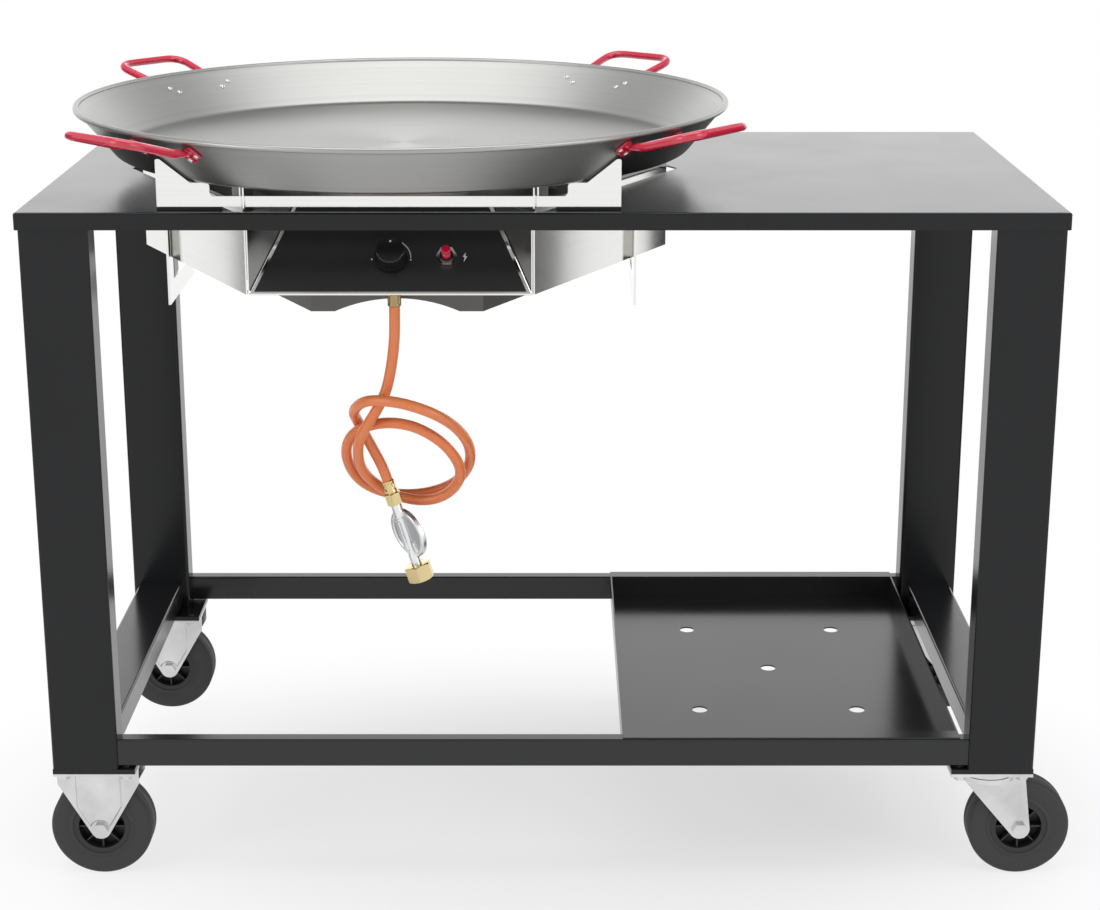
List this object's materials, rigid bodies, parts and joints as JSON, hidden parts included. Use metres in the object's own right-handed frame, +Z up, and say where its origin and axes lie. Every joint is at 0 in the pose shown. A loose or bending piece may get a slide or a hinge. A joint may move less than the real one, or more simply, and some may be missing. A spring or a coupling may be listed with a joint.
{
  "type": "gas grill",
  "caption": "Large round pan on a hexagonal gas burner set into a wheeled steel trolley table, with a hose, a regulator and a bottle tray.",
  "frame": {"origin": "on the floor under the middle of the overall box", "axes": "+X to the right along the worktop, +Y to the back, +Z up"},
  "size_m": [1.2606, 0.8118, 0.9412],
  "materials": {
    "powder_black": "satin powder coat",
    "zinc_plate": "bright zinc plate",
    "bearing_steel": "polished",
    "tyre_rubber": "matt rubber",
    "hub_plastic": "moulded black",
    "stainless": "polished stainless sheet",
    "fascia_black": "satin black with a printed scale",
    "rest_rubber": "matt",
    "burner_steel": "satin steel",
    "brass": "machined",
    "knob_plastic": "moulded black",
    "chrome_nut": "bright",
    "button_red": "gloss",
    "probe_steel": "satin",
    "probe_ceramic": "glazed",
    "hose_orange": "satin rubber",
    "regulator_zinc": "satin die casting",
    "pan_steel": "polished steel with a round sheen",
    "handle_red": "gloss enamel"
  },
  "bodies": {
    "trolley": {"table_top": "powder_black", "leg_front_left": "powder_black", "leg_front_right": "powder_black", "leg_rear_left": "powder_black", "leg_rear_right": "powder_black", "front_rail": "powder_black", "rear_rail": "powder_black", "left_rail": "powder_black", "right_rail": "powder_black", "caster_base_plates": "powder_black", "caster_bolts": "zinc_plate", "fixed_caster_brackets": "zinc_plate", "fixed_caster_axles": "zinc_plate", "swivel_plates": "zinc_plate", "swivel_balls": "bearing_steel", "swivel_kingpins": "zinc_plate"},
    "front_left_wheel": {"front_left_tyre": "tyre_rubber", "front_left_hub": "hub_plastic"},
    "rear_left_wheel": {"rear_left_tyre": "tyre_rubber", "rear_left_hub": "hub_plastic"},
    "front_caster": {"front_swivel_fork": "zinc_plate", "front_swivel_axle": "zinc_plate"},
    "rear_caster": {"rear_swivel_fork": "zinc_plate", "rear_swivel_axle": "zinc_plate"},
    "front_right_wheel": {"front_right_tyre": "tyre_rubber", "front_right_hub": "hub_plastic"},
    "rear_right_wheel": {"rear_right_tyre": "tyre_rubber", "rear_right_hub": "hub_plastic"},
    "tray": {"bottle_tray": "powder_black"},
    "grill": {"burner_housing": "stainless", "control_box": "stainless", "control_fascia": "fascia_black", "inner_shield": "stainless", "burner_floor": "stainless", "front_support": "stainless", "rear_support": "stainless", "rest_pads": "rest_rubber", "left_foot": "stainless", "right_foot": "stainless", "burner_outer_ring": "burner_steel", "burner_inner_ring": "burner_steel", "burner_arms": "burner_steel", "mixing_tube": "burner_steel", "gas_jet": "brass", "gas_tap": "brass", "piezo_body": "knob_plastic", "piezo_nut": "chrome_nut", "thermocouple": "probe_steel", "spark_electrode": "probe_ceramic", "hose_top_ferrule": "brass", "gas_hose": "hose_orange", "hose_end_fitting": "brass", "regulator_body": "regulator_zinc"},
    "pan": {"paella_pan": "pan_steel", "pan_handles": "handle_red", "pan_rivets": "pan_steel"},
    "spindle": {"tap_spindle": "brass"},
    "knob": {"control_knob": "knob_plastic"},
    "button": {"igniter_button": "button_red"},
    "union_nut": {"regulator_nut": "brass"}
  },
  "joints": [
    {"name": "front_left_wheel_spin", "type": "hinge", "parent": "trolley", "child": "front_left_wheel", "pos_m": [-0.5678, -0.2543, 0.0625], "axis": [0, 1, 0], "continuous": true},
    {"name": "front_caster_swivel", "type": "hinge", "parent": "trolley", "child": "front_caster", "pos_m": [0.5258, -0.2543, 0.14], "axis": [0, 0, 1], "continuous": true},
    {"name": "front_right_wheel_spin", "type": "hinge", "parent": "front_caster", "child": "front_right_wheel", "pos_m": [0.5678, -0.2543, 0.0625], "axis": [0, 1, 0], "continuous": true},
    {"name": "rear_left_wheel_spin", "type": "hinge", "parent": "trolley", "child": "rear_left_wheel", "pos_m": [-0.5678, 0.2543, 0.0625], "axis": [0, 1, 0], "continuous": true},
    {"name": "rear_caster_swivel", "type": "hinge", "parent": "trolley", "child": "rear_caster", "pos_m": [0.5258, 0.2543, 0.14], "axis": [0, 0, 1], "continuous": true},
    {"name": "rear_right_wheel_spin", "type": "hinge", "parent": "rear_caster", "child": "rear_right_wheel", "pos_m": [0.5678, 0.2543, 0.0625], "axis": [0, 1, 0], "continuous": true},
    {"name": "tray_lift", "type": "slide", "parent": "trolley", "child": "tray", "axis": [0, 0, 1], "range_m": [0, 0.2]},
    {"name": "grill_lift", "type": "slide", "parent": "trolley", "child": "grill", "axis": [0, 0, 1], "range_m": [0, 0.3]},
    {"name": "pan_lift", "type": "slide", "parent": "grill", "child": "pan", "axis": [0, 0, 1], "range_m": [0, 0.25]},
    {"name": "knob_push", "type": "slide", "parent": "grill", "child": "spindle", "axis": [0, 0.8, -0.6], "range_m": [0, 0.003], "stiffness_N_per_m": 1500},
    {"name": "knob_turn", "type": "hinge", "parent": "spindle", "child": "knob", "pos_m": [-0.196, -0.2584, 0.7788], "axis": [0, -0.8, 0.6], "range_deg": [0, 270]},
    {"name": "igniter_press", "type": "slide", "parent": "grill", "child": "button", "axis": [0, 0.8, -0.6], "range_m": [0, 0.006], "stiffness_N_per_m": 2000},
    {"name": "regulator_nut_spin", "type": "hinge", "parent": "grill", "child": "union_nut", "pos_m": [-0.1755, -0.193, 0.37542], "axis": [0.2983, 0, -0.9545], "continuous": true}
  ]
}
